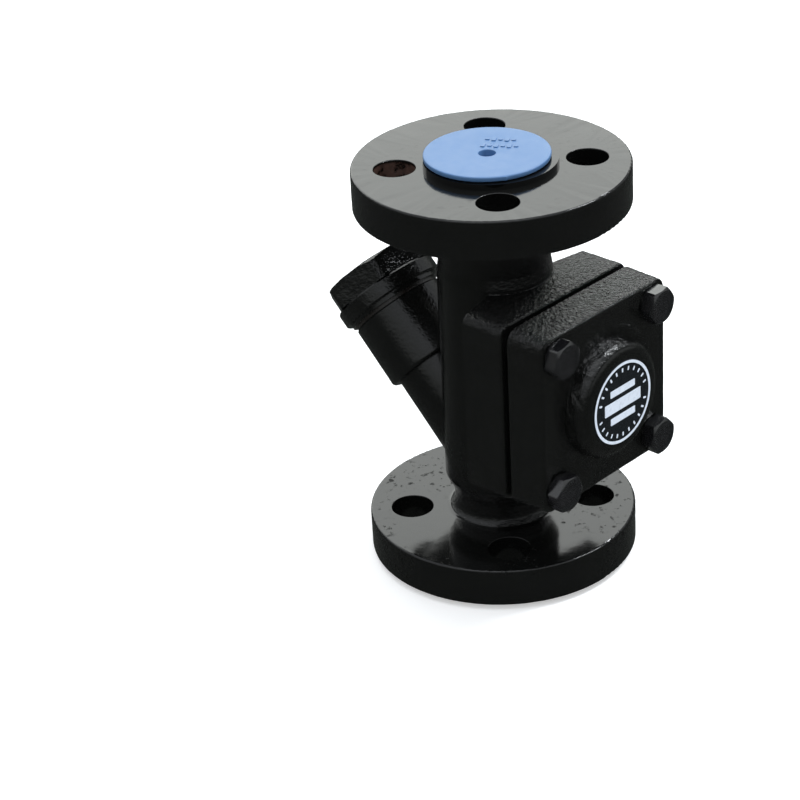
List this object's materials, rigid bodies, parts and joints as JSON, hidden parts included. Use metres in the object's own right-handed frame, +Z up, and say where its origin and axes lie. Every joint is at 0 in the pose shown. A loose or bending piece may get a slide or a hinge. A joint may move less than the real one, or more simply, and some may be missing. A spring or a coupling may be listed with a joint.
{
  "type": "steam trap",
  "caption": "In-line flanged thermostatic steam trap with a bolted square side cover, a domed boss and an angled strainer branch closed by a hexagon plug.",
  "frame": {"origin": "centre of the lower (inlet) flange's raised face", "axes": "+Z up along the pipe run to the outlet flange, -Y out of the side cover, the strainer branch leans towards +Y and up"},
  "size_m": [0.095, 0.1279, 0.152],
  "materials": {
    "black_paint": "gloss black enamel over a sand casting",
    "black_bolt": "black enamel over rolled hexagon heads",
    "graphite": "pressed graphite sheet",
    "copper_ring": "dull soft metal ring, partly painted over",
    "plate_print": "black printed plate with a white ring and blank white panels",
    "blue_plastic": "moulded polyethylene, light blue",
    "stainless": "turned stainless steel",
    "bimetal": "rolled bimetal strip, faint straw tint",
    "screen_mesh": "perforated stainless sheet"
  },
  "bodies": {
    "trap_body": {"trap_body": "black_paint", "cover": "black_paint", "cover_gasket": "graphite", "cover_bolts": "black_bolt", "name_plate": "plate_print", "valve_seat": "stainless", "seat_gasket": "copper_ring", "guide_washer": "stainless"},
    "valve_stem": {"valve_stem": "stainless", "pressure_washer": "stainless", "adjusting_nut": "stainless", "lock_nut": "stainless"},
    "bimetal_pair_1": {"bimetal_pair_1": "bimetal"},
    "bimetal_pair_2": {"bimetal_pair_2": "bimetal"},
    "bimetal_pair_3": {"bimetal_pair_3": "bimetal"},
    "bimetal_pair_4": {"bimetal_pair_4": "bimetal"},
    "bimetal_pair_5": {"bimetal_pair_5": "bimetal"},
    "bimetal_pair_6": {"bimetal_pair_6": "bimetal"},
    "strainer_screen": {"strainer_screen": "screen_mesh", "screen_lower_ring": "stainless", "screen_upper_ring": "stainless"},
    "strainer_gasket": {"strainer_gasket": "copper_ring"},
    "strainer_cap": {"strainer_cap": "black_paint"},
    "outlet_cap": {"outlet_cap": "blue_plastic"}
  },
  "joints": [
    {"name": "valve_stroke", "type": "slide", "parent": "trap_body", "child": "valve_stem", "axis": [0, -1, 0], "range_m": [0, 0.002]},
    {"name": "pair_1_bow", "type": "slide", "parent": "trap_body", "child": "bimetal_pair_1", "axis": [0, -1, 0], "range_m": [0, 0.002]},
    {"name": "pair_2_bow", "type": "slide", "parent": "trap_body", "child": "bimetal_pair_2", "axis": [0, -1, 0], "range_m": [0, 0.002]},
    {"name": "pair_3_bow", "type": "slide", "parent": "trap_body", "child": "bimetal_pair_3", "axis": [0, -1, 0], "range_m": [0, 0.002]},
    {"name": "pair_4_bow", "type": "slide", "parent": "trap_body", "child": "bimetal_pair_4", "axis": [0, -1, 0], "range_m": [0, 0.002]},
    {"name": "pair_5_bow", "type": "slide", "parent": "trap_body", "child": "bimetal_pair_5", "axis": [0, -1, 0], "range_m": [0, 0.002]},
    {"name": "pair_6_bow", "type": "slide", "parent": "trap_body", "child": "bimetal_pair_6", "axis": [0, -1, 0], "range_m": [0, 0.002]},
    {"name": "screen_withdrawal", "type": "slide", "parent": "trap_body", "child": "strainer_screen", "axis": [0, 0.7071, 0.7071], "range_m": [0, 0.075]},
    {"name": "cap_advance", "type": "slide", "parent": "strainer_screen", "child": "strainer_gasket", "axis": [0, 0.7071, 0.7071], "range_m": [0, 0.0135]},
    {"name": "cap_turn", "type": "hinge", "parent": "strainer_gasket", "child": "strainer_cap", "pos_m": [0, 0.04822, 0.08122], "axis": [0, 0.7071, 0.7071], "range_deg": [0, 3240]},
    {"name": "outlet_cap_lift", "type": "slide", "parent": "trap_body", "child": "outlet_cap", "axis": [0, 0, 1], "range_m": [0, 0.04]}
  ],
  "couplings": [
    {"joint": "pair_1_bow", "follows": "valve_stroke", "ratio": 0.083333},
    {"joint": "pair_2_bow", "follows": "valve_stroke", "ratio": 0.25},
    {"joint": "pair_3_bow", "follows": "valve_stroke", "ratio": 0.41667},
    {"joint": "pair_4_bow", "follows": "valve_stroke", "ratio": 0.58333},
    {"joint": "pair_5_bow", "follows": "valve_stroke", "ratio": 0.75},
    {"joint": "pair_6_bow", "follows": "valve_stroke", "ratio": 0.91667},
    {"joint": "cap_advance", "follows": "cap_turn", "m_per_rad": 0.00023873}
  ]
}
